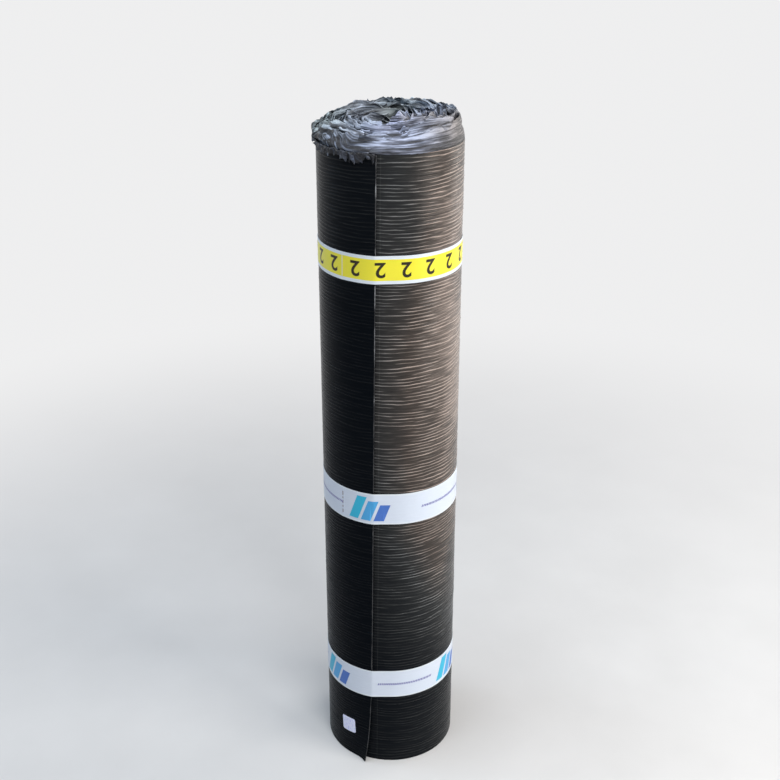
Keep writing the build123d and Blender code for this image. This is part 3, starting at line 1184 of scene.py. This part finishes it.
def label_patch(mat):
    """A bent patch with rounded corners: front, back and the thin rim between them."""
    shares = np.linspace(-0.5, 0.5, LABEL_POINTS)
    across, upward = np.meshgrid(shares, shares, indexing="ij")
    x, y = across * LABEL_WIDTH, upward * LABEL_HEIGHT
    past_x = np.maximum(np.abs(x) - (LABEL_WIDTH / 2 - LABEL_CORNER), 0)
    past_y = np.maximum(np.abs(y) - (LABEL_HEIGHT / 2 - LABEL_CORNER), 0)
    far = np.hypot(past_x, past_y)
    pull = np.where(far > LABEL_CORNER, LABEL_CORNER / np.maximum(far, TINY), 1)
    x = np.sign(x) * (np.abs(x) - past_x + past_x * pull)
    y = np.sign(y) * (np.abs(y) - past_y + past_y * pull)
    along = x * math.cos(LABEL_TILT) - y * math.sin(LABEL_TILT)
    up = x * math.sin(LABEL_TILT) + y * math.cos(LABEL_TILT)
    middle_turn = 1 - LABEL_BEFORE_LAP + LAP_LEAN * (0.5 - LABEL_MIDDLE / HEIGHT) / TAU
    turn, z = middle_turn + along / ONE_ROUND, LABEL_MIDDLE + up
    rim = np.maximum(np.abs(across), np.abs(upward)) > 0.5 - TINY
    front = wrap(turn, z, np.where(rim, LABEL_RIM, LABEL_FRONT))
    points = np.stack([front, wrap(turn, z, LABEL_BACK)])
    half = LABEL_POINTS**2
    faces = grid_faces(LABEL_POINTS, LABEL_POINTS)
    faces += [tuple(half + corner for corner in face[::-1]) for face in faces]
    edge = grid_rim(LABEL_POINTS)
    faces += [(a, half + a, half + b, b) for a, b in zip(edge, edge[1:] + edge[:1])]
    spread = np.stack([joined(x, y, 0)] * 2)
    make("label_patch", points, faces, mat, spread, np.zeros(2 * half), ("label",))


label_patch(label_material())

# The floor and the world. Far away the floor takes the backdrop's colour, so no horizon shows.
FLOOR_REACH = 40.0
FLOOR_FADE_FROM, FLOOR_FADE_TO = 0.4, 1.9
FLOOR_TONES = [(0.3, (0.66, 0.655, 0.645)), (0.7, (0.70, 0.695, 0.685))]
BACKDROP = (0.86, 0.86, 0.865)
DAYLIGHT = (0.10, 0.11, 0.14)


def is_background_ray(tree):
    """1 for a ray that shows the backdrop, 0 for one that only lights the roll."""
    path = add(tree, "LightPath").outputs
    seen = maths(tree, "MAXIMUM", path["Is Camera Ray"], path["Is Transmission Ray"])
    return maths(tree, "MAXIMUM", seen, path["Is Glossy Ray"])


def floor_material():
    mat, tree, shader = material("pale_floor", Roughness=0.8)
    coords = add(tree, "TexCoord").outputs["Object"]
    grain = add(tree, "TexNoise", {"Vector": coords, "Scale": 6.0, "Detail": 6.0}).outputs[0]
    link(tree, shader, Base_Color=ramp(tree, grain, FLOOR_TONES))
    away = add(tree, "VectorMath", {0: coords}, operation="LENGTH").outputs["Value"]
    span = {"Value": away, "From Min": FLOOR_FADE_FROM, "From Max": FLOOR_FADE_TO}
    fade = add(tree, "MapRange", span, interpolation_type="SMOOTHSTEP").outputs[0]
    fade = times(tree, fade, is_background_ray(tree))
    glow = add(tree, "Emission", {"Color": (*BACKDROP, 1), "Strength": 1.0}).outputs[0]
    both = add(tree, "MixShader", {0: fade, 1: shader.outputs[0], 2: glow}).outputs[0]
    tree.links.new(both, tree.nodes["Material Output"].inputs["Surface"])
    return mat


def lay_floor():
    mesh = bpy.data.meshes.new("floor")
    corners = [(x * FLOOR_REACH, y * FLOOR_REACH, 0) for x, y in ((-1, -1), (1, -1), (1, 1), (-1, 1))]
    mesh.from_pydata(corners, [], [(0, 1, 2, 3)])
    mesh.materials.append(floor_material())
    floor = into_scene("floor", mesh)


def light_world():
    world = bpy.data.worlds.new("studio")
    bpy.context.scene.world = world
    world.use_nodes = True
    tree = world.node_tree
    sky = mixed(tree, is_background_ray(tree), (*DAYLIGHT, 1), (*BACKDROP, 1))
    background = tree.nodes["Background"]
    link(tree, background, Color=sky)
    background.inputs["Strength"].default_value = 1.0


lay_floor()
light_world()


# The lamps and the camera.
def around(side, distance, z):
    """A place round the roll, at a direction in degrees right of the camera."""
    angle = VIEW_TURN + math.radians(side)
    return (distance * math.cos(angle), distance * math.sin(angle), z)


def stand(holder, where, aim_z):
    """Puts a lamp or the camera in its place, pointed at a height on the roll's axis."""
    holder.location = where
    aim = Vector((0, 0, aim_z)) - holder.location
    holder.rotation_euler = aim.to_track_quat("-Z", "Y").to_euler()


def lamp(name, where, aim_z, size_x, size_y, power, colour):
    light = bpy.data.lights.new(name, "AREA")
    light.shape = "RECTANGLE"
    light.size, light.size_y = size_x, size_y
    light.energy = power
    light.color = colour
    stand(into_scene(name, light), where, aim_z)


WARM, NEUTRAL, COOL, BLUE = (1.0, 0.96, 0.91), (1, 1, 1), (0.86, 0.93, 1.0), (0.50, 0.74, 1.0)
lamp("side", around(62, 1.9, 1.25), 0.6, 1.0, 1.7, 30, WARM)
lamp("far_side", around(118, 1.9, 1.25), 0.6, 1.0, 1.7, 15, WARM)
lamp("front", around(22, 2.4, 2.9), 0.6, 1.4, 1.0, 50, NEUTRAL)
lamp("top", around(-70, 0.6, 3.0), 0.9, 1.4, 1.4, 40, COOL)
lamp("left", around(-100, 2.2, 1.4), 0.6, 0.8, 1.6, 6, BLUE)

camera_data = bpy.data.cameras.new("camera")
camera_data.lens = VIEW_LENS
camera = into_scene("camera", camera_data)
stand(camera, around(0, VIEW_DISTANCE, VIEW_HEIGHT), VIEW_AIM)
bpy.context.scene.camera = camera
bpy.context.scene.view_settings.view_transform = "Standard"
